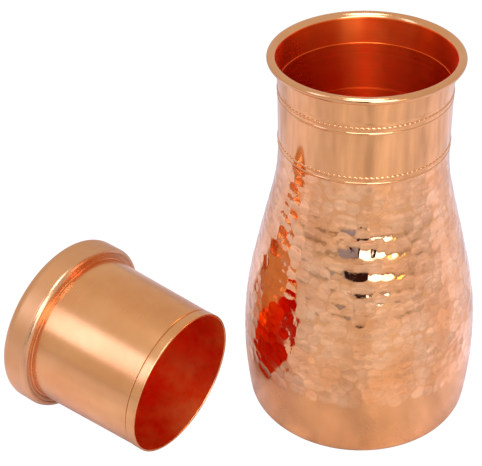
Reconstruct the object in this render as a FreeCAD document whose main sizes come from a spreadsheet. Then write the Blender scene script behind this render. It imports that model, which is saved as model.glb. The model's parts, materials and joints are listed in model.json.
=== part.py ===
import FreeCAD, Part
import math
import os
import re

import Sketcher

# A copper water jug with a beaded neck and a wired rim, and its tumbler lid lying beside it.
# Millimetres. The origin is the centre of the jug's base, +Z is up, and both rest on Z = 0.
# Every round piece is a full turn of one closed outline about its own Z axis. Each size has a
# two-word alias in the sheet, and every outline is bound to those aliases.

drivingSizes = {
    "sheet_thickness": 0.8,  # copper sheet of the jug and of the lid
    # jug
    "jug_height": 217.7,
    "belly_radius": 65.1,  # outside, at the widest level
    "belly_level": 43.0,  # height of the widest level
    "lower_arc": 260.0,  # radius of the belly's side below the widest level
    "corner_radius": 7.8,  # turn from the side to the flat base
    "flank_share": 0.87,  # how much of the flank is arc, the rest of it is straight
    "belly_arc_share": 0.64,  # the belly's part of the two arcs, the rest is the throat's
    "disc_radius": 52.0,  # base disc set into the belly's turned-in foot
    "base_braze_width": 4.0,
    "base_braze_height": 0.7,
    # neck
    "neck_radius": 44.65,  # outside
    "neck_height": 49.8,  # from the middle of the brazed seam up to the top of the rim
    "seam_width": 1.2,
    "seam_proud": 0.3,
    "bead_width": 1.7,
    "bead_proud": 0.5,
    "bead_rise": 2.9,  # from a ridge to the bead row above it
    "ridge_drop": 21.8,  # from the top of the rim down to the ridge pressed out of the neck
    "ridge_width": 1.3,
    "ridge_proud": 0.3,
    # rim
    "rim_radius": 50.0,  # outside of the rolled edge
    "roll_radius": 1.9,  # outside radius of the roll's section
    "mouth_arc": 3.2,  # radius of the turn from the neck's wall out to the rim, inside
    "ledge_drop": 16.5,  # from the top of the rim down to where the mouth starts to widen
    "roll_end": 108.0,  # degrees past the outermost point at which the roll stops
    # lid
    "cup_length": 70.1,  # from the lip to the flange
    "cup_taper": 0.033,  # growth in radius for each millimetre towards the flange
    "lid_clearance": 0.58,  # between the cup and the top of the neck's bore
    "cup_tail": 6.0,  # how far the cup's closed end goes into the cap
    "cup_corner": 3.0,
    "hem_height": 5.4,
    "hem_step": 0.2,
    "cap_height": 18.6,
    "cap_overhang": 0.1,  # how much less the cap reaches than the rim
    "cap_edge": 6.1,
    "cap_shoulder": 3.2,
    "lid_braze": 1.2,
    # where the lid lies
    "lid_gap": 36.0,  # from the belly's widest outline sideways to the centre of the lip
    "lid_place_y": -43.6,  # centre of the lip
    "lid_turn": 143.7,  # degrees from +X to the way that the cap points
}

derivedSizes = {
    "seam_level": "jug_height - neck_height",
    "ridge_level": "jug_height - ridge_drop",
    "belly_top": "seam_level - seam_width / 2",
    "neck_foot": "seam_level + seam_width / 2",
    "neck_bore": "neck_radius - sheet_thickness",
    # flank: an arc, a straight stretch and a throat arc, all tangent
    "flank_rise": "belly_top - belly_level",
    "flank_draw": "belly_radius - neck_radius",
    "arc_sum": "flank_share * (flank_rise ^ 2 + flank_draw ^ 2) / (2 * flank_draw)",
    "arc_reach": "arc_sum - flank_draw",
    "arc_distance": "sqrt(flank_rise ^ 2 + arc_reach ^ 2)",
    "flank_angle": "atan(flank_rise / arc_reach) - acos(arc_sum / arc_distance)",
    "flank_cos": "cos(flank_angle)",
    "flank_sin": "sin(flank_angle)",
    "belly_arc": "arc_sum * belly_arc_share",
    "throat_arc": "arc_sum - belly_arc",
    # corner: tangent to the base plane and to the arc above it
    "corner_drop": "belly_level - corner_radius",
    "corner_reach": "sqrt((lower_arc - corner_radius) ^ 2 - corner_drop ^ 2)",
    "corner_place": "belly_radius - lower_arc + corner_reach",
    "corner_cos": "corner_reach / (lower_arc - corner_radius)",
    "corner_sin": "corner_drop / (lower_arc - corner_radius)",
    # mouth: the wall widens a little, turns out to the top of the rim and rolls over its wire
    "wire_radius": "roll_radius - sheet_thickness",
    "roll_place": "rim_radius - roll_radius",
    "roll_level": "jug_height - roll_radius",
    "mouth_wall": "roll_place - mouth_arc",
    "mouth_foot": "jug_height - mouth_arc",
    "ledge_level": "jug_height - ledge_drop",
    # lid: the cup goes down the neck and the flange comes to rest on the rim
    "flange_cup": "neck_bore - lid_clearance + cup_taper * ledge_drop",
    "lip_wall": "flange_cup - cup_taper * cup_length",
    "lip_inside": "lip_wall - sheet_thickness",
    "hem_wall": "lip_wall + cup_taper * hem_height",
    "hem_radius": "hem_wall + hem_step",
    "lip_round": "(hem_radius - lip_inside) / 2",
    "cup_end": "cup_length + cup_tail",
    "cap_radius": "rim_radius - cap_overhang",
    "cap_end": "cup_length + cap_height",
}


def makeSheet(doc):
    sheet = doc.addObject("Spreadsheet::Sheet", "Sizes")
    rows = [(name, str(value)) for name, value in drivingSizes.items()]
    rows += [(name, "=" + formula) for name, formula in derivedSizes.items()]
    for row, (name, content) in enumerate(rows, start=1):
        sheet.set("A%d" % row, name)
        sheet.set("B%d" % row, content)
        sheet.setAlias("B%d" % row, name)
    doc.recompute()
    return sheet


def fromSheet(expression):
    """The expression as another object writes it, with the sheet's name before each alias."""
    return re.sub(r"[a-z]+(_[a-z]+)+", r"Sizes.\g<0>", expression)


def valueOf(sheet, expression):
    value = sheet.evalExpression(expression)
    return float(getattr(value, "Value", value))


def arcThrough(start, end, radius, turn):
    """An arc from start to end that turns left for "left" and right for "right"."""
    chord = end - start
    side = FreeCAD.Vector(-chord.y, chord.x, 0).normalize()
    if turn == "right":
        side = -side
    height = math.sqrt(max(radius ** 2 - (chord.Length / 2) ** 2, 0.0))
    centre = (start + end) / 2 + side * height
    first, last = (start, end) if turn == "left" else (end, start)
    angles = [math.atan2(point.y - centre.y, point.x - centre.x) for point in (first, last)]
    if angles[1] <= angles[0]:
        angles[1] += 2 * math.pi
    circle = Part.Circle(centre, FreeCAD.Vector(0, 0, 1), radius)
    return Part.ArcOfCircle(circle, angles[0], angles[1])


def holdAt(sketch, sheet, geometry, end, place):
    """Holds one end of a piece of geometry at the place that two expressions give."""
    for kind, axis, expression in zip(("DistanceX", "DistanceY"), (-2, -1), place):
        value = valueOf(sheet, expression)
        if expression == "0":
            sketch.addConstraint(Sketcher.Constraint("PointOnObject", geometry, end, axis))
            continue
        index = sketch.addConstraint(Sketcher.Constraint(kind, -1, 1, geometry, end, value))
        sketch.setExpression("Constraints[%d]" % index, fromSheet(expression))


def drawOutline(sketch, sheet, outline):
    """Draws a closed outline. A corner is (radius, height); one that an arc leads to is
    (radius, height, arc radius, "left" or "right"). The last corner leads back to the first."""
    corners = [FreeCAD.Vector(valueOf(sheet, c[0]), valueOf(sheet, c[1]), 0) for c in outline]
    ends = []
    for number, corner in enumerate(outline):
        start, end = corners[number - 1], corners[number]
        if len(corner) == 2:
            geometry = sketch.addGeometry(Part.LineSegment(start, end))
            ends.append((geometry, 1, 2))
            continue
        radius = valueOf(sheet, corner[2])
        geometry = sketch.addGeometry(arcThrough(start, end, radius, corner[3]))
        ends.append((geometry, 1, 2) if corner[3] == "left" else (geometry, 2, 1))
        # two level ends a diameter apart leave only the height of the arc's centre open
        if (end - start).Length > 1.999 * radius:
            held, rule = corner[1], Sketcher.Constraint("DistanceY", -1, 1, geometry, 3, end.y)
        else:
            held, rule = corner[2], Sketcher.Constraint("Radius", geometry, radius)
        index = sketch.addConstraint(rule)
        sketch.setExpression("Constraints[%d]" % index, fromSheet(held))
    for number, corner in enumerate(outline):
        before, after = ends[number], ends[(number + 1) % len(outline)]
        join = Sketcher.Constraint("Coincident", before[0], before[2], after[0], after[1])
        sketch.addConstraint(join)
        holdAt(sketch, sheet, before[0], before[2], corner[:2])


def turned(doc, sheet, label, outline):
    """A body made by turning an outline once round its Z axis."""
    body = doc.addObject("PartDesign::Body", label)
    body.Label = label
    sketch = body.newObject("Sketcher::SketchObject", label + "_outline")
    plane = next(item for item in body.Origin.OriginFeatures if item.Role == "XZ_Plane")
    sketch.AttachmentSupport = [(plane, "")]
    sketch.MapMode = "FlatFace"
    drawOutline(sketch, sheet, outline)
    turn = body.newObject("PartDesign::Revolution", label + "_turn")
    turn.Profile = sketch
    turn.ReferenceAxis = (sketch, ["V_Axis"])
    turn.Angle = 360.0
    doc.recompute()
    return body


def halfRound(level, width, proud):
    """A low half-round strip on the outside of the neck: its outline, level at its middle."""
    low = "%s - %s / 2" % (level, width)
    high = "%s + %s / 2" % (level, width)
    bulge = "((%s / 2) ^ 2 + %s ^ 2) / (2 * %s)" % (width, proud, proud)
    return low, high, bulge


def makeJugBody(doc, sheet):
    """The belly, the disc set into its foot, and the braze over their joint."""
    belly = [
        ("disc_radius", "0"),
        ("corner_place", "0"),
        ("corner_place + corner_radius * corner_cos", "corner_radius - corner_radius * corner_sin",
         "corner_radius", "left"),
        ("belly_radius", "belly_level", "lower_arc", "left"),
        ("belly_radius - belly_arc * (1 - flank_cos)", "belly_level + belly_arc * flank_sin",
         "belly_arc", "left"),
        ("neck_radius + throat_arc * (1 - flank_cos)", "belly_top - throat_arc * flank_sin"),
        ("neck_radius", "belly_top", "throat_arc", "right"),
        ("neck_bore", "belly_top"),
        ("neck_bore + (throat_arc + sheet_thickness) * (1 - flank_cos)",
         "belly_top - (throat_arc + sheet_thickness) * flank_sin",
         "throat_arc + sheet_thickness", "left"),
        ("belly_radius - sheet_thickness - (belly_arc - sheet_thickness) * (1 - flank_cos)",
         "belly_level + (belly_arc - sheet_thickness) * flank_sin"),
        ("belly_radius - sheet_thickness", "belly_level", "belly_arc - sheet_thickness", "right"),
        ("corner_place + (corner_radius - sheet_thickness) * corner_cos",
         "corner_radius - (corner_radius - sheet_thickness) * corner_sin",
         "lower_arc - sheet_thickness", "right"),
        ("corner_place", "sheet_thickness", "corner_radius - sheet_thickness", "right"),
        ("disc_radius", "sheet_thickness"),
    ]
    disc = [
        ("0", "0"),
        ("disc_radius", "0"),
        ("disc_radius", "sheet_thickness"),
        ("0", "sheet_thickness"),
    ]
    braze = [
        ("disc_radius - base_braze_width / 2", "sheet_thickness"),
        ("disc_radius + base_braze_width / 2", "sheet_thickness"),
        ("disc_radius + base_braze_width / 4", "sheet_thickness + base_braze_height"),
        ("disc_radius - base_braze_width / 4", "sheet_thickness + base_braze_height"),
    ]
    return [
        turned(doc, sheet, "belly_shell", belly),
        turned(doc, sheet, "base_disc", disc),
        turned(doc, sheet, "base_braze", braze),
    ]


def makeNeck(doc, sheet):
    """The neck sheet with its ridge and rolled mouth, and what is on it and in it."""
    ridgeLow, ridgeHigh, ridgeArc = halfRound("ridge_level", "ridge_width", "ridge_proud")
    collar = [
        ("neck_bore", "neck_foot"),
        ("neck_radius", "neck_foot"),
        ("neck_radius", ridgeLow),
        ("neck_radius", ridgeHigh, ridgeArc, "left"),
        ("neck_radius", "ledge_level"),
        ("mouth_wall + sheet_thickness", "mouth_foot"),
        ("roll_place", "jug_height - sheet_thickness", "mouth_arc - sheet_thickness", "right"),
        ("roll_place + wire_radius", "roll_level", "wire_radius", "right"),
        ("roll_place + wire_radius * cos(roll_end)", "roll_level - wire_radius * sin(roll_end)",
         "wire_radius", "right"),
        ("roll_place + roll_radius * cos(roll_end)", "roll_level - roll_radius * sin(roll_end)"),
        ("rim_radius", "roll_level", "roll_radius", "left"),
        ("roll_place", "jug_height", "roll_radius", "left"),
        ("mouth_wall", "mouth_foot", "mouth_arc", "left"),
        ("neck_bore", "ledge_level"),
    ]
    seamLow, seamHigh, seamArc = halfRound("seam_level", "seam_width", "seam_proud")
    seam = [
        ("neck_bore", seamLow),
        ("neck_radius", seamLow),
        ("neck_radius", seamHigh, seamArc, "left"),
        ("neck_bore", seamHigh),
    ]
    pieces = [
        turned(doc, sheet, "neck_collar", collar),
        turned(doc, sheet, "neck_seam", seam),
    ]
    for label, ridge in (("lower_bead_ring", "seam_level"), ("upper_bead_ring", "ridge_level")):
        low, high, arc = halfRound(ridge + " + bead_rise", "bead_width", "bead_proud")
        strip = [("neck_radius", low), ("neck_radius", high, arc, "left")]
        pieces.append(turned(doc, sheet, label, strip))
    wire = doc.addObject("Part::Torus", "rim_wire")
    wire.Label = "rim_wire"
    wire.setExpression("Radius1", "Sizes.roll_place")
    wire.setExpression("Radius2", "Sizes.wire_radius")
    wire.setExpression("Placement.Base.z", "Sizes.roll_level")
    doc.recompute()
    return pieces + [wire]


def makeLid(doc, sheet):
    """The lid in its own frame: the lip at Z = 0 and the cap at the top."""
    flangeTop = "cup_length + sheet_thickness"
    cup = [
        ("lip_inside", "lip_round"),
        ("hem_radius", "lip_round", "lip_round", "left"),
        ("hem_radius", "hem_height"),
        ("hem_wall", "hem_height"),
        ("flange_cup + cup_taper * (cup_tail - cup_corner)", "cup_end - cup_corner"),
        ("flange_cup + cup_taper * (cup_tail - cup_corner) - cup_corner", "cup_end",
         "cup_corner", "left"),
        ("0", "cup_end"),
        ("0", "cup_end - sheet_thickness"),
        ("flange_cup + cup_taper * (cup_tail - cup_corner) - cup_corner",
         "cup_end - sheet_thickness"),
        ("flange_cup + cup_taper * (cup_tail - cup_corner) - sheet_thickness",
         "cup_end - cup_corner", "cup_corner - sheet_thickness", "right"),
    ]
    flange = [
        ("flange_cup", "cup_length"),
        ("cap_radius - cap_shoulder", "cup_length"),
        ("cap_radius", "cup_length + cap_shoulder", "cap_shoulder", "left"),
        ("cap_radius - sheet_thickness", "cup_length + cap_shoulder"),
        ("cap_radius - cap_shoulder", flangeTop, "cap_shoulder - sheet_thickness", "right"),
        ("flange_cup + cup_taper * sheet_thickness", flangeTop),
    ]
    cap = [
        ("cap_radius - sheet_thickness", "cup_length + cap_shoulder"),
        ("cap_radius", "cup_length + cap_shoulder"),
        ("cap_radius", "cap_end - cap_edge"),
        ("cap_radius - cap_edge", "cap_end", "cap_edge", "left"),
        ("0", "cap_end"),
        ("0", "cap_end - sheet_thickness"),
        ("cap_radius - cap_edge", "cap_end - sheet_thickness"),
        ("cap_radius - sheet_thickness", "cap_end - cap_edge", "cap_edge - sheet_thickness",
         "right"),
    ]
    braze = [
        ("flange_cup + cup_taper * sheet_thickness", flangeTop),
        ("flange_cup + cup_taper * sheet_thickness + lid_braze", flangeTop),
        ("flange_cup + cup_taper * (sheet_thickness + lid_braze)", flangeTop + " + lid_braze"),
    ]
    return [
        turned(doc, sheet, "lid_cup", cup),
        turned(doc, sheet, "lid_flange", flange),
        turned(doc, sheet, "lid_cap", cap),
        turned(doc, sheet, "lid_braze", braze),
    ]


def layLid(sheet, pieces):
    """Lays the lid on its side, so that the lip and the cap's shoulder both touch Z = 0."""
    shoulder = valueOf(sheet, "cap_shoulder")
    lipRound = valueOf(sheet, "lip_round")
    along = valueOf(sheet, "cup_length + cap_shoulder - lip_round")
    across = valueOf(sheet, "cap_radius - cap_shoulder - hem_radius + lip_round")
    reach = math.hypot(along, across)
    tilt = math.atan2(across, along) + math.asin((shoulder - lipRound) / reach)
    lipHeight = valueOf(sheet, "hem_radius - lip_round") * math.cos(tilt)
    height = lipRound + lipHeight - lipRound * math.sin(tilt)
    turn = math.radians(valueOf(sheet, "lid_turn"))
    hinge = FreeCAD.Vector(-math.sin(turn), math.cos(turn), 0)
    place = FreeCAD.Vector(-valueOf(sheet, "belly_radius + lid_gap"), valueOf(sheet, "lid_place_y"), height)
    lying = FreeCAD.Placement(place, FreeCAD.Rotation(hinge, 90 - math.degrees(tilt)))
    for piece in pieces:
        piece.Placement = lying
    return lying


def checkPieces(doc, pieces):
    for item in doc.Objects:
        if "Invalid" in item.State or "Error" in item.State:
            raise RuntimeError("%s failed: %s" % (item.Label, item.State))
    for piece in pieces:
        if piece.Shape.isNull() or not piece.Shape.isValid():
            raise RuntimeError("%s has no valid shape" % piece.Label)
        if len(piece.Shape.Solids) != 1:
            raise RuntimeError("%s isn't one solid" % piece.Label)


def build():
    doc = FreeCAD.newDocument("copper_water_jug")
    sheet = makeSheet(doc)
    pieces = makeJugBody(doc, sheet) + makeNeck(doc, sheet)
    lid = makeLid(doc, sheet)
    lying = layLid(sheet, lid)
    pieces += lid
    doc.recompute()
    checkPieces(doc, pieces)
    os.makedirs("parts", exist_ok=True)
    for piece in pieces:
        piece.Shape.exportStep("parts/%s.step" % piece.Label)
        print("%-18s %9.1f mm3" % (piece.Label, piece.Shape.Volume))
    cap = lying.Rotation.multVec(FreeCAD.Vector(0, 0, 1))
    print("lid: lip centre %s, towards the cap %s" % (tuple(lying.Base), tuple(cap)))


build()
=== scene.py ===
import json
import math
import random

import bmesh
import bpy
import numpy as np
from mathutils import Matrix, Vector


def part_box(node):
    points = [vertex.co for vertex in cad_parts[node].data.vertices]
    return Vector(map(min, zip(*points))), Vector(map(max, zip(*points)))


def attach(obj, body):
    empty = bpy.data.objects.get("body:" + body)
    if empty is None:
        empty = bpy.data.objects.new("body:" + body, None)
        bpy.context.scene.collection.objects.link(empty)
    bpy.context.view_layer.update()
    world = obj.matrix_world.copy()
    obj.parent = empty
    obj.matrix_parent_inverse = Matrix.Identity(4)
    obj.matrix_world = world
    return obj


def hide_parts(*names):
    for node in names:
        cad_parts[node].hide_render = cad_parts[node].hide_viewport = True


# A copper water jug with a hammered belly, a beaded neck and a rolled rim,
# and its tumbler lid lying on its side next to it. Sizes in the dictionaries are millimetres.

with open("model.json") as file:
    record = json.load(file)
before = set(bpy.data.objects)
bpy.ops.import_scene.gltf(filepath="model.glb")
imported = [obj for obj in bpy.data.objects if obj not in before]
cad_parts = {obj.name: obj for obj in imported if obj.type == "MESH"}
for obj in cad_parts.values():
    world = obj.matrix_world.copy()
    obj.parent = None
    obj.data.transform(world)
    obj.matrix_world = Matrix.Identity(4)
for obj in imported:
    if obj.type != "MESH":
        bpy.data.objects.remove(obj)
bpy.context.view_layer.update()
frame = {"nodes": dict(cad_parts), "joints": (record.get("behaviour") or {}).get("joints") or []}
nodes = frame["nodes"]
print("frame loaded:", len(nodes), "nodes")

# sizes that several pieces share
sheetThickness = 0.8
neckRadius = 44.65  # outside
seamLevel = 167.9
discRadius = 52.0
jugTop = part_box("neck_collar")[1].z * 1000
print("jug top:", round(jugTop, 1), "mm")


def addObject(name, data):
    thing = bpy.data.objects.new(name, data)
    bpy.context.collection.objects.link(thing)
    return thing


def traceArc(start, end, radius, turn, step):
    chord = Vector(end) - Vector(start)
    side = Vector((-chord.y, chord.x)).normalized() * (1 if turn == "left" else -1)
    rise = math.sqrt(max(radius ** 2 - chord.length_squared / 4, 0))
    centre = (Vector(start) + Vector(end)) / 2 + side * rise
    first = math.atan2(start[1] - centre.y, start[0] - centre.x)
    last = math.atan2(end[1] - centre.y, end[0] - centre.x)
    if turn == "left" and last <= first:
        last += 2 * math.pi
    if turn == "right" and last >= first:
        last -= 2 * math.pi
    sweep = last - first
    count = max(3, round(abs(sweep) * radius / step), round(abs(sweep) * 8))  # 8 to a radian at least
    angles = [first + sweep * i / count for i in range(1, count + 1)]
    return [(centre.x + radius * math.cos(a), centre.y + radius * math.sin(a)) for a in angles]


def traceOutline(corners, step):
    # a corner is (radius, height), or (radius, height, arc radius, turn) where an arc leads to it
    points = [corners[0][:2]]
    for corner in corners[1:]:
        start, end = points[-1], corner[:2]
        if len(corner) == 4:
            points += traceArc(start, end, corner[2], corner[3], step)
            continue
        count = max(1, round(math.dist(start, end) / step))
        points += [tuple(start[k] + (end[k] - start[k]) * i / count for k in (0, 1))
                   for i in range(1, count + 1)]
    return points


def outlineNormals(points):
    p = np.array(points)
    along = np.roll(p, -1, 0) - np.roll(p, 1, 0)
    along[0], along[-1] = p[1] - p[0], p[-1] - p[-2]
    along /= np.maximum(np.linalg.norm(along, axis=1, keepdims=True), 1e-9)
    return np.stack([along[:, 1], -along[:, 0]], 1)  # to the right of the way that it runs


def turnedPiece(name, radius, height, marks=None):
    # each row of the grid is a full turn, and the last row joins the first
    rows, sides = radius.shape
    angle = np.arange(sides) * 2 * math.pi / sides
    grid = np.stack([radius * np.cos(angle), radius * np.sin(angle), height], 2) / 1000
    i, k = np.arange(rows)[:, None], np.arange(sides)[None, :]
    after, beside = (i + 1) % rows, (k + 1) % sides
    faces = np.stack([i * sides + k, i * sides + beside,
                      after * sides + beside, after * sides + k], 2)
    mesh = bpy.data.meshes.new(name)
    mesh.from_pydata(grid.reshape(-1, 3).tolist(), [], faces.reshape(-1, 4).tolist())
    for label, values in (marks or {}).items():
        attribute = mesh.attributes.new(label, "FLOAT", "POINT")
        attribute.data.foreach_set("value", values.astype(np.float32).ravel())
    return addObject(name, mesh)


def turnOutline(name, points, sides, lift=None, marks=None):
    # lift is how far each vertex stands off the outline, as rows along it and columns round it
    p = np.array(points, float)
    normals = outlineNormals(points)
    offset = np.zeros((len(p), sides)) if lift is None else lift
    return turnedPiece(name, p[:, :1] + normals[:, :1] * offset, p[:, 1:] + normals[:, 1:] * offset,
                       marks)


def finishMesh(piece, edgeAngle=35):
    # welds the points on the axis, turns every face outwards and keeps the real edges crisp
    mesh = piece.data
    work = bmesh.new()
    work.from_mesh(mesh)
    bmesh.ops.remove_doubles(work, verts=work.verts, dist=1e-7)
    bmesh.ops.dissolve_degenerate(work, edges=work.edges, dist=1e-8)
    bmesh.ops.recalc_face_normals(work, faces=work.faces)
    work.to_mesh(mesh)
    work.free()
    mesh.shade_smooth()
    mesh.set_sharp_from_angle(angle=math.radians(edgeAngle))


def giveMaterials(piece, materials, choose=None):
    for material in materials:
        piece.data.materials.append(material)
    if choose:
        for face in piece.data.polygons:
            face.material_index = choose(face)


def halfRound(level, width, proud, radius):
    # a low rounded ridge on the neck, from its lower edge to its upper one
    bulge = ((width / 2) ** 2 + proud ** 2) / (2 * proud)
    return [(radius, level - width / 2), (radius, level + width / 2, bulge, "left")]


lid = {
    "cupLength": 70.1, "taper": 0.033, "tail": 6.0, "corner": 3.0,
    "clearance": 0.58,  # to the neck's bore, where the straight bore starts
    "hemHeight": 5.4, "hemStep": 0.2, "hemEdge": 0.15,
    "hemGroove": 0.35, "hemGrooveWidth": 0.7, "hemGrooveFlank": 0.35,
    "capHeight": 18.6, "overhang": 0.1, "capEdge": 6.1,
    "shoulder": 3.2, "flangeBead": 0.35, "flangeBeadArc": 3.0,
    "hover": 120.0,  # from the rim to the lip at the end of the swing
    "sides": 256, "cupStep": 1.6, "flangeStep": 0.6, "capStep": 1.2,
}


def lidPlace():
    # the swing ends with the lid mouth down over the jug, so it is laid back by the whole swing
    swing = frame["joints"][0]
    centre, axis = Vector(swing["pos_m"]), Vector(swing["axis"])
    back = Matrix.Rotation(-math.radians(swing["range_deg"][1]), 4, axis)
    over = Matrix.Translation((0, 0, (jugTop + lid["hover"]) / 1000))
    return Matrix.Translation(centre) @ back @ Matrix.Translation(-centre) @ over


lidFrame = addObject("lidFrame", None)
lidFrame.matrix_world = lidPlace()
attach(lidFrame, "lid")
print("lid frame placed")


def newGroup(name, inputs, outputs):
    group = bpy.data.node_groups.new(name, "ShaderNodeTree")
    for label, kind, value in inputs:
        socket = group.interface.new_socket(label, in_out="INPUT", socket_type=kind)
        socket.default_value = value
    for label, kind in outputs:
        group.interface.new_socket(label, in_out="OUTPUT", socket_type=kind)
    return group, group.nodes.new("NodeGroupInput"), group.nodes.new("NodeGroupOutput")


def addNode(tree, kind, settings=None, **values):
    node = tree.nodes.new("ShaderNode" + kind)
    for key, value in (settings or {}).items():
        setattr(node, key, value)
    for key, value in values.items():
        node.inputs[key.replace("_", " ")].default_value = value
    return node


def math2(tree, operation, a, b, clamp=False):
    node = tree.nodes.new("ShaderNodeMath")
    node.operation, node.use_clamp = operation, clamp
    for socket, value in zip(node.inputs, (a, b)):
        if isinstance(value, (int, float)):
            socket.default_value = value
        else:
            tree.links.new(value, socket)
    return node.outputs[0]


def makeSpunLines():
    # fine lines round the Z axis, as a lathe or a polishing wheel leaves them
    group, inside, outside = newGroup(
        "Spun Lines",
        [("Place", "NodeSocketVector", (0, 0, 0)), ("Lines Per Metre", "NodeSocketFloat", 2500.0),
         ("Waver", "NodeSocketFloat", 0.3)],
        [("Height", "NodeSocketFloat"), ("Streaks", "NodeSocketFloat")])
    link = group.links.new
    split = addNode(group, "SeparateXYZ")
    link(inside.outputs["Place"], split.inputs[0])
    radius = math2(group, "SQRT", math2(group, "ADD", math2(group, "POWER", split.outputs[0], 2.0),
                                        math2(group, "POWER", split.outputs[1], 2.0)), 0.0)
    travel = math2(group, "ADD", split.outputs[2], math2(group, "MULTIPLY", radius, 0.7))
    drift = addNode(group, "TexNoise", Scale=14.0, Detail=1.0)
    link(inside.outputs["Place"], drift.inputs["Vector"])
    travel = math2(group, "ADD", travel,
                   math2(group, "MULTIPLY", math2(group, "MULTIPLY", drift.outputs[0], 0.002),
                         inside.outputs["Waver"]))
    join = addNode(group, "CombineXYZ")
    link(math2(group, "MULTIPLY", travel, inside.outputs["Lines Per Metre"]), join.inputs[2])
    fine = addNode(group, "TexNoise", Scale=1.0, Detail=3.0, Roughness=0.6)
    link(join.outputs[0], fine.inputs["Vector"])
    wide = addNode(group, "TexNoise", Scale=0.12, Detail=2.0)
    link(join.outputs[0], wide.inputs["Vector"])
    link(fine.outputs[0], outside.inputs["Height"])
    link(math2(group, "ADD", math2(group, "MULTIPLY", fine.outputs[0], 0.5),
               math2(group, "MULTIPLY", wide.outputs[0], 0.5)), outside.inputs["Streaks"])
    return group


def makeToneDrift():
    # slow change between two tones of copper, in soft clouds
    group, inside, outside = newGroup(
        "Tone Drift",
        [("Place", "NodeSocketVector", (0, 0, 0)),
         ("Bright", "NodeSocketColor", (0.9, 0.5, 0.3, 1)),
         ("Deep", "NodeSocketColor", (0.8, 0.35, 0.2, 1)),
         ("Scale", "NodeSocketFloat", 30.0), ("Contrast", "NodeSocketFloat", 1.5)],
        [("Color", "NodeSocketColor"), ("Clouds", "NodeSocketFloat")])
    link = group.links.new
    clouds = addNode(group, "TexNoise", Detail=4.0, Roughness=0.55)
    link(inside.outputs["Place"], clouds.inputs["Vector"])
    link(inside.outputs["Scale"], clouds.inputs["Scale"])
    centred = math2(group, "SUBTRACT", clouds.outputs[0], 0.5)
    mask = math2(group, "ADD", math2(group, "MULTIPLY", centred, inside.outputs["Contrast"]), 0.5, True)
    mix = addNode(group, "Mix", {"data_type": "RGBA"})
    link(mask, mix.inputs["Factor"])
    link(inside.outputs["Bright"], mix.inputs[6])
    link(inside.outputs["Deep"], mix.inputs[7])
    link(mix.outputs[2], outside.inputs["Color"])
    link(mask, outside.inputs["Clouds"])
    return group


def makeHandling():
    # smears and small specks left by hands and cloths, for the roughness
    group, inside, outside = newGroup(
        "Handling",
        [("Place", "NodeSocketVector", (0, 0, 0)), ("Clean", "NodeSocketFloat", 0.1),
         ("Smeared", "NodeSocketFloat", 0.2), ("Scale", "NodeSocketFloat", 60.0)],
        [("Roughness", "NodeSocketFloat"), ("Marks", "NodeSocketFloat")])
    link = group.links.new
    smear = addNode(group, "TexNoise", Detail=5.0, Roughness=0.6, Distortion=0.6)
    link(inside.outputs["Place"], smear.inputs["Vector"])
    link(inside.outputs["Scale"], smear.inputs["Scale"])
    speck = addNode(group, "TexNoise", Scale=900.0, Detail=2.0)
    link(inside.outputs["Place"], speck.inputs["Vector"])
    ramp = addNode(group, "MapRange", {"clamp": True}, From_Min=0.42, From_Max=0.68)
    link(smear.outputs[0], ramp.inputs["Value"])
    marks = math2(group, "ADD", ramp.outputs[0], math2(group, "MULTIPLY", speck.outputs[0], 0.15), True)
    reach = math2(group, "SUBTRACT", inside.outputs["Smeared"], inside.outputs["Clean"])
    link(math2(group, "ADD", inside.outputs["Clean"], math2(group, "MULTIPLY", marks, reach)),
         outside.inputs["Roughness"])
    link(marks, outside.inputs["Marks"])
    return group


def makeScratches():
    # a few long fine scratches in crossing directions
    group, inside, outside = newGroup(
        "Fine Scratches",
        [("Place", "NodeSocketVector", (0, 0, 0)), ("Scale", "NodeSocketFloat", 40.0),
         ("Amount", "NodeSocketFloat", 0.5)],
        [("Scratches", "NodeSocketFloat")])
    link = group.links.new
    total = None
    for turn, stretch in (((0.4, 0.9, 0.3), (1.0, 14.0, 9.0)), ((1.3, 0.2, 1.1), (11.0, 1.2, 15.0))):
        spread = addNode(group, "Mapping", Rotation=turn, Scale=stretch)
        link(inside.outputs["Place"], spread.inputs["Vector"])
        noise = addNode(group, "TexNoise", Detail=2.0)
        link(spread.outputs[0], noise.inputs["Vector"])
        link(inside.outputs["Scale"], noise.inputs["Scale"])
        line = math2(group, "ABSOLUTE", math2(group, "SUBTRACT", noise.outputs[0], 0.5), 0.0)
        thin = addNode(group, "MapRange", {"clamp": True}, From_Min=0.0, From_Max=0.006,
                       To_Min=1.0, To_Max=0.0)
        link(line, thin.inputs["Value"])
        total = thin.outputs[0] if total is None else math2(group, "MAXIMUM", total, thin.outputs[0])
    link(math2(group, "MULTIPLY", total, inside.outputs["Amount"], True), outside.inputs["Scratches"])
    return group


spunLines = makeSpunLines()
toneDrift = makeToneDrift()
handling = makeHandling()
scratches = makeScratches()


def placeGroup(tree, group, place, **values):
    node = tree.nodes.new("ShaderNodeGroup")
    node.node_tree = group
    node.label = group.name
    tree.links.new(place.outputs["Object"], node.inputs["Place"])
    for key, value in values.items():
        node.inputs[key.replace("_", " ")].default_value = value
    return node


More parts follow.
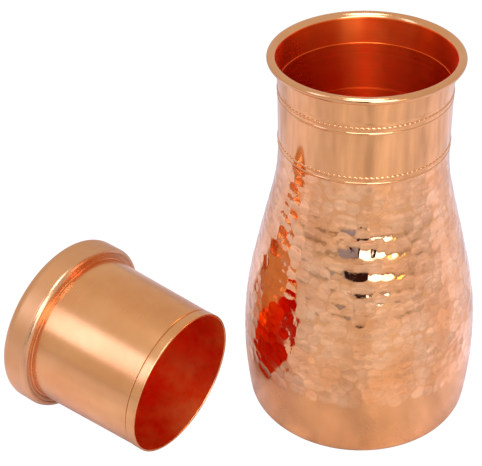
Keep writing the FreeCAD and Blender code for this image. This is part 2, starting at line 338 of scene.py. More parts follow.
def makeCopper(name, look):
    material = bpy.data.materials.new(name)
    material.use_nodes = True
    tree = material.node_tree
    link = tree.links.new
    shader = tree.nodes["Principled BSDF"]
    shader.inputs["Metallic"].default_value = 1.0
    shader.inputs["Anisotropic"].default_value = look.get("spun", 0.0)
    shader.inputs["Anisotropic Rotation"].default_value = 0.25
    if look.get("spun"):
        spin = addNode(tree, "Tangent", {"direction_type": "RADIAL", "axis": "Z"})
        link(spin.outputs[0], shader.inputs["Tangent"])
    place = addNode(tree, "TexCoord")
    if look.get("onLid"):
        place.object = lidFrame
    tone = placeGroup(tree, toneDrift, place, Bright=(*look["bright"], 1), Deep=(*look["deep"], 1),
                      Scale=look["toneScale"], Contrast=look["toneContrast"])
    hands = placeGroup(tree, handling, place, Clean=look["clean"], Smeared=look["smeared"],
                       Scale=look["smearScale"])
    lines = placeGroup(tree, spunLines, place, Lines_Per_Metre=look["linesPerMetre"],
                       Waver=look["waver"])
    marks = placeGroup(tree, scratches, place, Scale=look["scratchScale"],
                       Amount=look["scratchAmount"])
    rough = math2(tree, "ADD", hands.outputs["Roughness"],
                  math2(tree, "MULTIPLY", marks.outputs[0], 0.15))
    streak = addNode(tree, "MapRange", {"clamp": True}, From_Min=0.3, From_Max=0.7,
                     To_Min=1.0 - look["streakDepth"], To_Max=1.0)
    link(lines.outputs["Streaks"], streak.inputs["Value"])
    streaked = addNode(tree, "Mix", {"data_type": "RGBA", "blend_type": "MULTIPLY"}, Factor=1.0)
    link(tone.outputs["Color"], streaked.inputs[6])
    link(streak.outputs[0], streaked.inputs[7])
    colour = streaked.outputs[2]
    if "band" in look:  # the smooth foot below the hammer marks, a little duller and browner: the dullness is its own finish, the brown partly its own tone and partly a painted reflection of the shaded floor beside it
        worked = addNode(tree, "Attribute", {"attribute_name": "worked"})
        plain = math2(tree, "SUBTRACT", 1.0, worked.outputs["Fac"], True)
        banded = addNode(tree, "Mix", {"data_type": "RGBA"})
        link(math2(tree, "MULTIPLY", plain, look["bandAmount"]), banded.inputs["Factor"])
        link(colour, banded.inputs[6])
        banded.inputs[7].default_value = (*look["band"], 1)
        rough = math2(tree, "ADD", rough, math2(tree, "MULTIPLY", plain, look["bandRoughness"]))
        # painted shade on the ridges between blows, where two dents meet
        ridge = addNode(tree, "Attribute", {"attribute_name": "ridge"})
        creaseShaded = addNode(tree, "Mix", {"data_type": "RGBA"})
        link(math2(tree, "MULTIPLY", ridge.outputs["Fac"], look["creaseShadeAmount"]),
             creaseShaded.inputs["Factor"])
        link(banded.outputs[2], creaseShaded.inputs[6])
        creaseShaded.inputs[7].default_value = (*look["ridge"], 1)
        colour = creaseShaded.outputs[2]
    link(colour, shader.inputs["Base Color"])
    link(rough, shader.inputs["Roughness"])
    bump = addNode(tree, "Bump", Strength=look["bumpStrength"], Distance=0.0001)
    wavy = addNode(tree, "TexNoise", Scale=look["waveScale"], Detail=2.0)
    link(place.outputs["Object"], wavy.inputs["Vector"])
    height = math2(tree, "ADD", math2(tree, "MULTIPLY", lines.outputs["Height"], look["lineHeight"]),
                   math2(tree, "MULTIPLY", wavy.outputs[0], look["waveHeight"]))
    height = math2(tree, "SUBTRACT", height,
                   math2(tree, "MULTIPLY", marks.outputs[0], look["scratchDepth"]))
    link(height, bump.inputs["Height"])
    link(bump.outputs[0], shader.inputs["Normal"])
    return material


copperLooks = {
    "hammeredCopper": dict(
        bright=(0.98, 0.55, 0.31), deep=(0.86, 0.38, 0.16), toneScale=52.0, toneContrast=3.2,
        clean=0.055, smeared=0.13, smearScale=45.0, linesPerMetre=900.0, waver=1.0, streakDepth=0.02,
        lineHeight=0.02, waveHeight=2.6, waveScale=210.0, bumpStrength=0.55, scratchScale=26.0,
        # band is the foot's browner tone, partly its own and partly a painted reflection of the shaded
        # floor
        scratchAmount=0.0, scratchDepth=0.0, band=(0.83, 0.39, 0.165), bandAmount=0.8,
        # ridge and its amount give painted shade where blows meet
        bandRoughness=0.16, ridge=(0.80, 0.38, 0.19), creaseShadeAmount=0.22),
    "polishedCopper": dict(
        bright=(0.92, 0.47, 0.225), deep=(0.84, 0.385, 0.16), toneScale=22.0, toneContrast=2.4,
        clean=0.06, smeared=0.10, smearScale=40.0, linesPerMetre=1600.0, waver=0.4, streakDepth=0.03,
        lineHeight=0.03, waveHeight=1.6, waveScale=52.0, bumpStrength=0.25, scratchScale=22.0,
        scratchAmount=0.15, scratchDepth=0.03),
    "rimCopper": dict(
        bright=(0.90, 0.47, 0.235), deep=(0.82, 0.385, 0.17), toneScale=34.0, toneContrast=1.8,
        clean=0.12, smeared=0.20, smearScale=60.0, linesPerMetre=1800.0, waver=0.3, streakDepth=0.04,
        lineHeight=0.05, waveHeight=0.9, waveScale=80.0, bumpStrength=0.25, scratchScale=26.0,
        scratchAmount=0.2, scratchDepth=0.05),
    # a redder copper for the inside: partly its own tone, partly a painted deepening of the red that
    # light gains bouncing round the mouth
    "innerCopperAndBounceRed": dict(
        spun=0.85,
        bright=(1.0, 0.23, 0.04), deep=(0.99, 0.14, 0.01), toneScale=30.0, toneContrast=1.8,
        clean=0.27, smeared=0.33, smearScale=26.0, linesPerMetre=900.0, waver=0.4, streakDepth=0.16,
        lineHeight=0.10, waveHeight=0.2, waveScale=120.0, bumpStrength=0.3, scratchScale=30.0,
        scratchAmount=0.0, scratchDepth=0.0),
    "satinCopper": dict(
        onLid=True,
        bright=(0.92, 0.465, 0.205), deep=(0.84, 0.365, 0.145), toneScale=26.0, toneContrast=3.2,
        clean=0.23, smeared=0.28, smearScale=24.0, linesPerMetre=1400.0, waver=0.4, streakDepth=0.05,
        lineHeight=0.08, waveHeight=0.3, waveScale=90.0, bumpStrength=0.3, scratchScale=9.0,
        scratchAmount=0.08, scratchDepth=0.02),
    "capCopper": dict(
        onLid=True,
        bright=(0.84, 0.44, 0.215), deep=(0.77, 0.36, 0.155), toneScale=30.0, toneContrast=2.2,
        clean=0.36, smeared=0.42, smearScale=30.0, linesPerMetre=1400.0, waver=0.4, streakDepth=0.06,
        lineHeight=0.12, waveHeight=0.3, waveScale=90.0, bumpStrength=0.3, scratchScale=9.0,
        scratchAmount=0.15, scratchDepth=0.04),
    "flangeCopper": dict(
        onLid=True,
        bright=(0.85, 0.46, 0.25), deep=(0.78, 0.38, 0.19), toneScale=30.0, toneContrast=2.0,
        clean=0.22, smeared=0.28, smearScale=30.0, linesPerMetre=1400.0, waver=0.4, streakDepth=0.06,
        lineHeight=0.08, waveHeight=0.3, waveScale=90.0, bumpStrength=0.3, scratchScale=9.0,
        scratchAmount=0.2, scratchDepth=0.1),
    # a redder copper for the lid's inside: partly its own tone, partly a painted deepening of the red
    # that light gains bouncing inside the cup
    "lidInnerCopperAndBounceRed": dict(
        onLid=True,
        bright=(1.0, 0.42, 0.10), deep=(0.95, 0.13, 0.01), toneScale=55.0, toneContrast=4.2,
        clean=0.28, smeared=0.42, smearScale=40.0, linesPerMetre=1200.0, waver=0.6, streakDepth=0.10,
        lineHeight=0.10, waveHeight=0.6, waveScale=140.0, bumpStrength=0.3, scratchScale=34.0,
        scratchAmount=0.0, scratchDepth=0.0),
    # painted shade for the hem's groove: a much darker copper in the recess
    "grooveShadeCopper": dict(
        onLid=True,
        bright=(0.42, 0.19, 0.07), deep=(0.30, 0.12, 0.04), toneScale=60.0, toneContrast=2.0,
        clean=0.40, smeared=0.50, smearScale=60.0, linesPerMetre=1400.0, waver=0.4, streakDepth=0.1,
        lineHeight=0.1, waveHeight=0.2, waveScale=90.0, bumpStrength=0.2, scratchScale=9.0,
        scratchAmount=0.0, scratchDepth=0.0),
    "plainCopper": dict(
        bright=(0.88, 0.46, 0.25), deep=(0.76, 0.32, 0.15), toneScale=40.0, toneContrast=2.4,
        clean=0.26, smeared=0.42, smearScale=50.0, linesPerMetre=1000.0, waver=0.8, streakDepth=0.12,
        lineHeight=0.25, waveHeight=0.8, waveScale=70.0, bumpStrength=0.4, scratchScale=12.0,
        scratchAmount=0.5, scratchDepth=0.3),
    "brazeFiller": dict(
        bright=(0.86, 0.52, 0.26), deep=(0.66, 0.34, 0.16), toneScale=220.0, toneContrast=2.5,
        clean=0.30, smeared=0.50, smearScale=300.0, linesPerMetre=400.0, waver=1.0, streakDepth=0.1,
        lineHeight=0.1, waveHeight=2.0, waveScale=900.0, bumpStrength=0.5, scratchScale=20.0,
        scratchAmount=0.2, scratchDepth=0.1),
}
copper = {name: makeCopper(name, look) for name, look in copperLooks.items()}
print("materials made:", ", ".join(copper))

belly = {
    "radius": 65.1, "level": 43.0, "lowerArc": 260.0, "cornerRadius": 7.8,
    "flankShare": 0.87, "bellyArcShare": 0.64, "top": 167.3,
    "dentPitch": 6.4, "rowPitch": 6.15, "firstRow": 42.2, "lastRow": 164.0,
    "dentDepth": 0.25, "depthSpread": 0.05, "dentArc": 27.0, "arcSpread": (0.8, 1.5),
    "dentReach": 1.25,  # pitches out from its middle that a blow is looked at
    "tiltSpread": 0.026, "jitter": 1.9, "jitterRound": 0.5, "jitterUp": 0.4,
    "fadeLevel": 140, "fadeHeight": 25, "fadeShare": 0.45,  # blows get lighter towards the neck
    # how far single rows are tilted at the front: below 0 they look up more, above 0 down
    "rowLean": {11: 0.02, 12: -0.15, 13: 0.045, 14: -0.15, 15: 0.045, 16: 0.05, 17: 0.035},
    "leanPlace": -92.0, "leanReach": 26.0,  # degrees round from +X, where those rows lean
    "calmRows": (12, 14), "calmShare": 0.35, "rowRipple": 0.7,
    "soften": 0.13, "workedDepth": 0.06, "sides": 720, "step": 0.56, "insideStep": 4.0, "seed": 11,
}


def bellyOutline():
    rise, draw = belly["top"] - belly["level"], belly["radius"] - neckRadius
    arcSum = belly["flankShare"] * (rise ** 2 + draw ** 2) / (2 * draw)
    reach = arcSum - draw
    slope = math.atan2(rise, reach) - math.acos(arcSum / math.hypot(rise, reach))
    low, high = arcSum * belly["bellyArcShare"], arcSum * (1 - belly["bellyArcShare"])
    corner, t = belly["cornerRadius"], sheetThickness
    drop = belly["level"] - corner
    side = math.sqrt((belly["lowerArc"] - corner) ** 2 - drop ** 2)
    place = belly["radius"] - belly["lowerArc"] + side
    c, s = side / (belly["lowerArc"] - corner), drop / (belly["lowerArc"] - corner)
    cos, sin = math.cos(slope), math.sin(slope)

    def cornerAt(inset):
        return place + (corner - inset) * c, corner - (corner - inset) * s

    def lowAt(inset):
        arc = low - inset
        return belly["radius"] - inset - arc * (1 - cos), belly["level"] + arc * sin

    def highAt(inset):
        arc = high + inset
        return neckRadius - inset + arc * (1 - cos), belly["top"] - arc * sin

    outer = traceOutline([
        (discRadius, 0), (place, 0), (*cornerAt(0), corner, "left"),
        (belly["radius"], belly["level"], belly["lowerArc"], "left"), (*lowAt(0), low, "left"),
        highAt(0), (neckRadius, belly["top"], high, "right")], belly["step"])
    inner = traceOutline([
        (neckRadius - t, belly["top"]), (*highAt(t), high + t, "left"), lowAt(t),
        (belly["radius"] - t, belly["level"], low - t, "right"),
        (*cornerAt(t), belly["lowerArc"] - t, "right"), (place, t, corner - t, "right"),
        (discRadius, t)], belly["insideStep"])
    return outer, inner


def hammerRows():
    # the rows of blows up the belly: the height of each, its lean and where it starts
    chance = random.Random(belly["seed"])
    count = round((belly["lastRow"] - belly["firstRow"]) / belly["rowPitch"]) + 1
    rows = [(belly["firstRow"] + row * belly["rowPitch"], belly["rowLean"].get(row, 0.0),
             chance.random()) for row in range(count)]
    return rows, chance


def hammerField(outer, sides):
    # how deep the skin is struck at each vertex; behind is the second deepest blow there
    p = np.array(outer)
    travel = np.concatenate([[0], np.cumsum(np.hypot(*np.diff(p, axis=0).T))])
    field, behind = np.zeros((len(p), sides)), np.zeros((len(p), sides))
    angle = np.arange(sides) * 2 * math.pi / sides
    rows, chance = hammerRows()
    reach = belly["dentPitch"] * belly["dentReach"]
    total = 0
    for number, (level, lean, start) in enumerate(rows):
        along = np.interp(level, p[:, 1], travel)
        around = np.interp(along, travel, p[:, 0])
        count = round(2 * math.pi * around / belly["dentPitch"])
        above = max(0, level - belly["fadeLevel"])
        fade = 1.0 - belly["fadeShare"] * above / belly["fadeHeight"]
        calm = number in belly["calmRows"]
        stray = belly["jitter"] * (belly["calmShare"] if calm else 1.0)
        total += count
        for blow in range(count):
            at = (blow + 0.5 * (number % 2) + start * 0.3) / count * 2 * math.pi
            at += chance.gauss(0, stray * belly["jitterRound"]) / around
            ripple = 0 if calm else belly["rowRipple"] * math.sin(at * 3 + number * 1.7)
            place = along + chance.gauss(0, stray * belly["jitterUp"]) + ripple
            depth = (belly["dentDepth"] + chance.gauss(0, belly["depthSpread"])) * fade
            aside = (math.degrees(at) - belly["leanPlace"] + 180) % 360 - 180
            held = lean * math.exp(-(aside / belly["leanReach"]) ** 4)
            tiltUp = (held + chance.gauss(0, belly["tiltSpread"])) * fade
            tiltRound = chance.gauss(0, belly["tiltSpread"]) * fade
            arc = belly["dentArc"] * chance.uniform(*belly["arcSpread"]) / fade
            near = np.nonzero(abs(travel - place) < reach)[0]
            far = (angle - at + math.pi) % (2 * math.pi) - math.pi
            beside = np.nonzero(abs(far) * around < reach)[0]
            up = (travel[near] - place)[:, None]
            across = (far[beside] * around)[None, :]
            dent = -depth + (up ** 2 + across ** 2) / (2 * arc) + up * tiltUp + across * tiltRound
            patch = np.ix_(near, beside)
            behind[patch] = np.minimum(behind[patch], np.maximum(field[patch], dent))
            field[patch] = np.minimum(field[patch], dent)
    print("belly:", total, "hammer blows in", len(rows), "rows")
    apart = (behind - field) / belly["soften"]  # small where two blows meet
    ridge = np.clip(1 - apart, 0, 1)
    worked = np.clip(-field / belly["workedDepth"], 0, 1)
    share = np.clip(0.5 + 0.5 * apart, 0, 1)
    field = behind * (1 - share) + field * share - belly["soften"] * share * (1 - share)
    field = np.minimum(field + belly["soften"] / 4 * (worked < 0.01), 0)
    # ridge marks where two blows meet, for the painted shade there
    return field, {"worked": worked, "ridge": ridge * worked}


def makeBelly():
    outer, inner = bellyOutline()
    sides = belly["sides"]
    field, marks = hammerField(outer, sides)
    smooth = np.zeros((len(inner), sides))
    marks = {label: np.vstack([values, smooth]) for label, values in marks.items()}
    piece = turnOutline("hammeredBelly", outer + inner, sides, np.vstack([field, smooth]), marks)
    outside = len(outer) * sides
    giveMaterials(piece, [copper["hammeredCopper"], copper["innerCopperAndBounceRed"]],
                  lambda face: 0 if face.index < outside else 1)
    finishMesh(piece)
    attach(piece, "jug")
    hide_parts("belly_shell")
    print("belly:", len(piece.data.vertices), "vertices")


makeBelly()

neck = {
    "foot": 168.5, "ridge": 195.9, "ridgeWidth": 1.3, "ridgeProud": 0.24, "grooveDepth": 0.05,
    "rimRadius": 50.0, "rollRadius": 1.9, "rollEnd": 108.0, "mouthArc": 3.2,
    "ledgeLevel": 201.2, "ledge": 0.35, "lapLevel": 174.3, "lap": 0.05,
    "seamWidth": 1.2, "seamProud": 0.26, "seamInside": 0.15, "seamStep": 0.25,
    "sides": 384, "step": 1.0,
}


def makeNeck():
    t, bore = sheetThickness, neckRadius - sheetThickness
    place, level = neck["rimRadius"] - neck["rollRadius"], jugTop - neck["rollRadius"]
    arc, foot = neck["mouthArc"], jugTop - neck["mouthArc"]
    mouth = place - arc  # the wall widens up to here, then turns out
    end, roll, wire = math.radians(neck["rollEnd"]), neck["rollRadius"], neck["rollRadius"] - t
    ledge, lap = neck["ledgeLevel"], neck["lapLevel"]
    wide, narrow = bore + neck["ledge"] / 2, bore - neck["ledge"] / 2
    groove = halfRound(neck["ridge"], neck["ridgeWidth"], neck["grooveDepth"], narrow)
    points = traceOutline([
        (bore, neck["foot"]), (neckRadius, neck["foot"]),
        *halfRound(neck["ridge"], neck["ridgeWidth"], neck["ridgeProud"], neckRadius),
        (neckRadius, ledge), (mouth + t, foot), (place, jugTop - t, arc - t, "right"),
        (place + wire, level, wire, "right"),
        (place + wire * math.cos(end), level - wire * math.sin(end), wire, "right"),
        (place + roll * math.cos(end), level - roll * math.sin(end)),
        (place + roll, level, roll, "left"), (place, level + roll, roll, "left"),
        (mouth, foot, arc, "left"), (wide, ledge + 0.2), (narrow, ledge),
        (narrow, neck["ridge"] + neck["ridgeWidth"] / 2),
        (narrow, neck["ridge"] - neck["ridgeWidth"] / 2, groove[1][2], "right"),
        (narrow, lap), (narrow - neck["lap"], lap - 0.1), (narrow - neck["lap"], neck["foot"] + 0.3)],
        neck["step"])
    piece = turnOutline("neckCollar", points, neck["sides"])

    def finishOf(face):  # the rolled rim, then the inside, and the polished outside for the rest
        radius, height = face.center.xy.length * 1000, face.center.z * 1000
        if height > foot + 0.5 and radius > mouth + 0.25:
            return 1
        inside = bore + 0.4 + max(0, (height - ledge) * (mouth - bore) / (foot - ledge))
        return 2 if radius < inside and height > neck["foot"] else 0

    giveMaterials(piece, [copper[n] for n in ("polishedCopper", "rimCopper", "innerCopperAndBounceRed")],
                  finishOf)
    finishMesh(piece)
    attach(piece, "jug")
    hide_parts("neck_collar")
    print("neck:", len(piece.data.vertices), "vertices")


def makeSeam():
    bore, middle = neckRadius - sheetThickness, seamLevel
    outside = halfRound(middle, neck["seamWidth"], neck["seamProud"], neckRadius)
    inside = halfRound(middle, neck["seamWidth"], neck["seamInside"], bore)
    points = traceOutline([inside[0], *outside, (bore, middle + neck["seamWidth"] / 2),
                           (bore, middle - neck["seamWidth"] / 2, inside[1][2], "left")],
                          neck["seamStep"])
    piece = turnOutline("neckSeam", points[:-1], neck["sides"])
    giveMaterials(piece, [copper["polishedCopper"], copper["innerCopperAndBounceRed"]],
                  lambda face: 1 if face.center.xy.length * 1000 < bore + 0.3 else 0)
    finishMesh(piece)
    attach(piece, "jug")
    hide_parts("neck_seam")
    print("seam:", len(piece.data.vertices), "vertices")


makeNeck()
makeSeam()

beads = {
    "rise": 2.9,  # above the ridge or the seam
    "width": 1.7, "proud": 0.4, "count": 101, "perBead": 12, "section": 14, "waist": 0.4,
}


def makeBeadRow(name, node, ridge):
    phase = (np.arange(beads["count"] * beads["perBead"]) % beads["perBead"]) / beads["perBead"] * 2 - 1
    swell = np.sqrt(np.clip(1 - phase ** 2, 0, 1)) * (1 - beads["waist"]) + beads["waist"]
    section = np.arange(beads["section"]) * 2 * math.pi / beads["section"]
    radius = neckRadius + beads["proud"] * np.cos(section)[:, None] * swell
    height = ridge + beads["rise"] + beads["width"] / 2 * np.sin(section)[:, None] * swell
    piece = turnedPiece(name, radius, height)
    giveMaterials(piece, [copper["polishedCopper"]])
    finishMesh(piece, 70)
    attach(piece, "jug")
    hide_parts(node)


makeBeadRow("upperBeads", "upper_bead_ring", neck["ridge"])
makeBeadRow("lowerBeads", "lower_bead_ring", seamLevel)
print("bead rows:", beads["count"], "beads each")

base = {
    "rings": ((18.0, 0.12), (34.0, 0.12)),  # turning marks in the underside: radius and depth
    "ringWidth": 1.1, "sides": 192, "step": 1.5,
}


def makeBase():
    t = sheetThickness
    outline = traceOutline([(0.001, 0), (discRadius, 0), (discRadius, t), (0.001, t)],
                           base["step"])
    lift = np.zeros((len(outline), base["sides"]))
    for number, (radius, height) in enumerate(outline):
        if height == 0 and radius < discRadius - 2:
            lift[number] = -sum(depth * math.exp(-((radius - at) / base["ringWidth"]) ** 2)
                                for at, depth in base["rings"])
    piece = turnOutline("baseDisc", outline, base["sides"], lift)
    giveMaterials(piece, [copper["plainCopper"], copper["innerCopperAndBounceRed"]],
                  lambda face: 1 if face.center.z * 1000 > t * 0.9 else 0)
    finishMesh(piece)
    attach(piece, "jug")
    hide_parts("base_disc")
    print("base disc:", len(base["rings"]), "turning rings")


makeBase()


def finishLid(piece, node):
    finishMesh(piece)
    piece.data.transform(lidPlace())
    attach(piece, "lid")
    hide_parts(node)


def makeLid():
    t = sheetThickness
    depth = jugTop - neck["ledgeLevel"]  # how far down the neck's straight bore starts
    flangeCup = neckRadius - t - lid["clearance"] + lid["taper"] * depth
    lipWall = flangeCup - lid["taper"] * lid["cupLength"]
    hemWall = lipWall + lid["taper"] * lid["hemHeight"]
    hem, lipInside = hemWall + lid["hemStep"], lipWall - t
    lip = (hem - lipInside) / 2
    end = lid["cupLength"] + lid["tail"]
    wide = flangeCup + lid["taper"] * (lid["tail"] - lid["corner"])
    sides = lid["sides"]
    edge, corner, hemTop = lid["hemEdge"], lid["corner"], lid["hemHeight"]
    grooveFloor, grooveTop = hemWall - lid["hemGroove"], hemTop + lid["hemGrooveWidth"]
    cup = traceOutline([
        (lipInside, lip), ((lipInside + hem) / 2, 0, lip, "left"), (hem, lip, lip, "left"),
        (hem, hemTop - edge), (hem - edge, hemTop, edge, "left"),
        (grooveFloor, hemTop + 0.08), (grooveFloor, grooveTop),
        (hemWall + 0.02, grooveTop + lid["hemGrooveFlank"]), (wide, end - corner),
        (wide - corner, end, corner, "left"), (0.001, end), (0.001, end - t),
        (wide - corner, end - t), (wide - t, end - corner, corner - t, "right")],
        lid["cupStep"])
    piece = turnOutline("lidCup", cup, sides)
    axisRow = next(i for i, point in enumerate(cup) if point[0] < 0.01)

    def finishOf(face):  # the inside past the closed end, and the hem's groove, darkened with painted shade
        if face.index // sides > axisRow:
            return 1
        radius, height = face.center.xy.length * 1000, face.center.z * 1000
        return 2 if hemTop - 0.1 < height < hemTop + 1 and radius < grooveFloor + 0.12 else 0

    giveMaterials(piece, [copper[n] for n in ("satinCopper", "lidInnerCopperAndBounceRed", "grooveShadeCopper")],
                  finishOf)
    finishLid(piece, "lid_cup")

    cap = neck["rimRadius"] - lid["overhang"]
    foot, top = lid["cupLength"], lid["cupLength"] + lid["capHeight"]
    shoulder, bead, capEdge = lid["shoulder"], foot + lid["flangeBead"], lid["capEdge"]
    flange = traceOutline([
        (flangeCup, foot + 0.15), (flangeCup + 0.3, bead),
        (cap - shoulder - 0.2, bead, lid["flangeBeadArc"], "left"),
        (cap - shoulder + 0.15, foot + 0.1), (cap, foot + shoulder, shoulder, "left"),
        (cap - t, foot + shoulder), (cap - shoulder, foot + t, shoulder - t, "right"),
        (flangeCup + lid["taper"] * t, foot + t)], lid["flangeStep"])
    piece = turnOutline("lidFlange", flange, sides)
    giveMaterials(piece, [copper["flangeCopper"]])
    finishLid(piece, "lid_flange")

    shell = traceOutline([
        (cap - t, foot + shoulder), (cap, foot + shoulder), (cap, top - capEdge),
        (cap - capEdge, top, capEdge, "left"), (0.001, top), (0.001, top - t),
        (cap - capEdge, top - t), (cap - t, top - capEdge, capEdge - t, "right")],
        lid["capStep"])
    piece = turnOutline("lidCap", shell, sides)
    giveMaterials(piece, [copper["capCopper"]])
    finishLid(piece, "lid_cap")
    print("lid:", len(piece.data.vertices), "vertices in the cap")


makeLid()

for nodeName in ("base_braze", "lid_braze", "rim_wire"):
    node = nodes[nodeName]
    node.data.materials.clear()
    node.data.materials.append(copper["brazeFiller"])
print("brazes and rim wire given their finish")

studio = {
    "cameraPlace": (-65.6, -559.4, 496.5), "cameraDown": 34.6, "cameraRoll": -2.005, "lens": 92.73,
    "worldTone": (1.0, 0.95, 0.88), "worldStrength": 0.68, "floorTone": (0.66, 0.64, 0.62),
    # painted light and shade on the floor: its lighter and darker rays, its fall-off further off and
    # its cool tint at the sides
    "floorLightAndShadeRays": ((0.00, 0.92), (0.18, 1.10), (0.28, 1.12), (0.325, 1.0), (0.352, 0.88), (0.385, 1.0),
                   (0.435, 1.0), (0.463, 0.88), (0.49, 0.90), (0.525, 1.05), (0.615, 1.10),
                   (0.635, 0.98), (0.67, 1.16), (0.76, 1.24), (0.90, 1.08), (1.0, 0.92)),
    "mottle": 1.2, "mottleSize": 3.6, "ripple": 0.064,
    "coolLightTone": (0.70, 0.70, 0.82), "coolMiddle": 0.48, "coolFrom": 0.07, "coolTo": 0.26,
    "floorLightFalloff": ((0.0, 1.0), (0.04, 1.0), (0.12, 0.92), (0.3, 0.84), (1.0, 0.8)),
    "floorReach": 6.0, "floorGlow": 1.12, "glowShare": 0.88,
    # azimuth, elevation, distance, width, height, radiance, tone
    "softboxes": {"frontBox": (-6, 40, 1.7, 1.1, 0.6, 4.4, (0.95, 0.98, 1.1)),
                  "topBox": (-4, 78, 1.4, 0.5, 0.6, 7.0, (0.95, 0.98, 1.1)),
                  "leftBox": (-65, 36, 1.5, 0.34, 0.8, 2.6, (0.53, 0.64, 1.05))},
    # azimuth, lowest and highest elevation, distance, half width, tone, strength
    "cards": {"darkCard": (-7.0, -1.5, 22, 0.9, 7.0, (0.03, 0.01, 0.01), 1.0),
              "greyCard": (-21.0, -1.5, 18, 0.9, 7.0, (0.34, 0.40, 0.62), 1.0),
              "windowCard": (14.0, 0, 34, 0.9, 14.0, (0.9, 1.0, 1.25), 3.6),
              "warmCard": (33.0, 0, 12, 0.9, 4.0, (1.0, 0.85, 0.35), 2.6)},
}


def makeCamera():
    data = bpy.data.cameras.new("camera")
    data.lens, data.sensor_width = studio["lens"], 36.0
    data.clip_start, data.clip_end = 0.02, 50.0
    camera = addObject("camera", data)
    turn = Matrix.Rotation(math.radians(90 - studio["cameraDown"]), 4, "X")
    turn = turn @ Matrix.Rotation(math.radians(studio["cameraRoll"]), 4, "Z")
    camera.matrix_world = Matrix.Translation(Vector(studio["cameraPlace"]) / 1000) @ turn
    bpy.context.scene.camera = camera


def towards(azimuth, elevation, distance, height=0.1):
    # azimuth 0 is the -Y side and 90 the +X side
    a, e = math.radians(azimuth), math.radians(elevation)
    way = Vector((math.sin(a) * math.cos(e), -math.cos(a) * math.cos(e), math.sin(e)))
    return way * distance + Vector((0, 0, height))


def makeSoftbox(name, azimuth, elevation, distance, width, height, radiance, tone):
    data = bpy.data.lights.new(name, "AREA")
    data.shape, data.size, data.size_y = "RECTANGLE", width, height
    data.energy = radiance * math.pi * width * height
    data.color = tone
    light = addObject(name, data)
    light.location = towards(azimuth, elevation, distance)
    aim = Vector((0, 0, 0.1)) - light.location
    light.rotation_mode = "QUATERNION"
    light.rotation_quaternion = aim.to_track_quat("-Z", "Y")
    light.visible_camera = False


def makeCard(name, azimuth, low, high, distance, halfWidth, tone, strength):
    # an upright curved card that only reflections see; low and high are its elevations
    sides = 12
    places = []
    for side in range(sides + 1):
        turn = azimuth - halfWidth + 2 * halfWidth * side / sides
        for elevation in (low, high):
            point = towards(turn, 0, distance)
            point.z = 0.1 + distance * math.tan(math.radians(elevation))
            places.append(point)
    faces = [(2 * i, 2 * i + 2, 2 * i + 3, 2 * i + 1) for i in range(sides)]
    mesh = bpy.data.meshes.new(name)
    mesh.from_pydata(places, [], faces)
    piece = addObject(name, mesh)
    material = bpy.data.materials.new(name)
    material.use_nodes = True
    tree = material.node_tree
    tree.nodes.remove(tree.nodes["Principled BSDF"])
    glow = addNode(tree, "Emission", Color=(*tone, 1), Strength=strength)
    tree.links.new(glow.outputs[0], tree.nodes["Material Output"].inputs["Surface"])
    mesh.materials.append(material)
    piece.visible_camera = False
    piece.visible_shadow = False
    piece.visible_diffuse = False


def levels(tree, value, stops):
    # a smooth run of levels, each at its place from 0 to 1; half the level is stored
    ramp = addNode(tree, "ValToRGB")
    ramp.color_ramp.interpolation = "EASE"
    while len(ramp.color_ramp.elements) > 1:
        ramp.color_ramp.elements.remove(ramp.color_ramp.elements[0])
    for number, (place, level) in enumerate(stops):
        element = ramp.color_ramp.elements[0] if number == 0 else ramp.color_ramp.elements.new(place)
        element.position, element.color = place, (level / 2, level / 2, level / 2, 1)
    tree.links.new(value, ramp.inputs[0])
    return math2(tree, "MULTIPLY", ramp.outputs[0], 2.0)


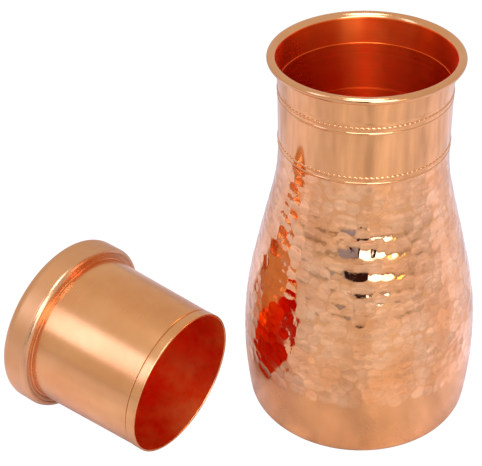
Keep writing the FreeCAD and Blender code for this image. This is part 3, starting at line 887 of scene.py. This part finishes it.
def makeFloor():
    bpy.ops.mesh.primitive_circle_add(vertices=96, radius=12, fill_type="NGON",
                                      location=(0, 0, -0.0002))
    floor = bpy.context.object
    floor.name = "floor"
    material = bpy.data.materials.new("floor")
    material.use_nodes = True
    tree = material.node_tree
    shader = tree.nodes["Principled BSDF"]
    shader.inputs["Roughness"].default_value = 0.9
    shader.inputs["Specular IOR Level"].default_value = 0.1
    # painted light and shade: lighter and darker rays round the jug, duller further off as the light
    # falls off, and a cool light towards the sides and back
    place = addNode(tree, "TexCoord")
    split = addNode(tree, "SeparateXYZ")
    tree.links.new(place.outputs["Object"], split.inputs[0])
    turn = math2(tree, "ARCTAN2", split.outputs[0], math2(tree, "MULTIPLY", split.outputs[1], -1.0))
    turn = math2(tree, "ADD", math2(tree, "DIVIDE", turn, 2 * math.pi), 0.5)
    length = addNode(tree, "VectorMath", {"operation": "LENGTH"})
    tree.links.new(place.outputs["Object"], length.inputs[0])
    reach = math2(tree, "DIVIDE", length.outputs["Value"], studio["floorReach"])
    way = addNode(tree, "VectorMath", {"operation": "NORMALIZE"})
    tree.links.new(place.outputs["Object"], way.inputs[0])
    rise = addNode(tree, "CombineXYZ")
    tree.links.new(math2(tree, "LOGARITHM", length.outputs["Value"], 2.718), rise.inputs[2])
    around = addNode(tree, "VectorMath", {"operation": "ADD"})
    tree.links.new(way.outputs[0], around.inputs[0])
    tree.links.new(rise.outputs[0], around.inputs[1])
    clouds = addNode(tree, "TexNoise", Scale=studio["mottleSize"], Detail=3.0, Roughness=0.6)
    tree.links.new(around.outputs[0], clouds.inputs["Vector"])
    uneven = math2(tree, "SUBTRACT", clouds.outputs[0], 0.5)
    turn = math2(tree, "ADD", turn, math2(tree, "MULTIPLY", uneven, studio["ripple"]))
    shade = math2(tree, "MULTIPLY", levels(tree, turn, studio["floorLightAndShadeRays"]),
                  levels(tree, reach, studio["floorLightFalloff"]))
    shade = math2(tree, "MULTIPLY", shade,
                  math2(tree, "ADD", math2(tree, "MULTIPLY", uneven, studio["mottle"]), 1.0))
    # a painted cool light, stronger away from the front of the jug
    cool = addNode(tree, "MapRange", {"clamp": True}, From_Min=studio["coolFrom"],
                   From_Max=studio["coolTo"])
    aside = math2(tree, "SUBTRACT", turn, studio["coolMiddle"])
    tree.links.new(math2(tree, "ABSOLUTE", aside, 0.0), cool.inputs[0])
    tone = addNode(tree, "Mix", {"data_type": "RGBA"})
    tree.links.new(cool.outputs[0], tone.inputs["Factor"])
    tone.inputs[6].default_value = (*studio["floorTone"], 1)
    tone.inputs[7].default_value = (*studio["coolLightTone"], 1)
    cloth = addNode(tree, "Mix", {"data_type": "RGBA", "blend_type": "MULTIPLY"}, Factor=1.0)
    tree.links.new(tone.outputs[2], cloth.inputs[6])
    tree.links.new(shade, cloth.inputs[7])
    tree.links.new(cloth.outputs[2], shader.inputs["Base Color"])
    # the camera sees it close to white
    bright = addNode(tree, "Emission", Color=(1, 1, 1, 1), Strength=studio["floorGlow"])
    path = addNode(tree, "LightPath")
    blend = addNode(tree, "MixShader")
    seen = math2(tree, "MULTIPLY", path.outputs["Is Camera Ray"], studio["glowShare"])
    tree.links.new(seen, blend.inputs[0])
    tree.links.new(shader.outputs[0], blend.inputs[1])
    tree.links.new(bright.outputs[0], blend.inputs[2])
    tree.links.new(blend.outputs[0], tree.nodes["Material Output"].inputs["Surface"])
    floor.data.materials.append(material)


def makeWorld():
    world = bpy.data.worlds.new("studio")
    bpy.context.scene.world = world
    world.use_nodes = True
    tree = world.node_tree
    room = tree.nodes["Background"]
    room.inputs["Color"].default_value = (*studio["worldTone"], 1)
    room.inputs["Strength"].default_value = studio["worldStrength"]
    bright = addNode(tree, "Background", Color=(1, 1, 1, 1), Strength=1.0)
    path = addNode(tree, "LightPath")
    blend = addNode(tree, "MixShader")
    tree.links.new(path.outputs["Is Camera Ray"], blend.inputs[0])
    tree.links.new(room.outputs[0], blend.inputs[1])
    tree.links.new(bright.outputs[0], blend.inputs[2])
    tree.links.new(blend.outputs[0], tree.nodes["World Output"].inputs["Surface"])


makeCamera()
makeFloor()
makeWorld()
for boxName, settings in studio["softboxes"].items():
    makeSoftbox(boxName, *settings)
for cardName, settings in studio["cards"].items():
    makeCard(cardName, *settings)
bpy.context.scene.view_settings.view_transform = "Standard"
# the copper walls of the mouth pass light on many times
bpy.context.scene.cycles.glossy_bounces = 12
bpy.context.scene.cycles.max_bounces = 14
print("studio ready")
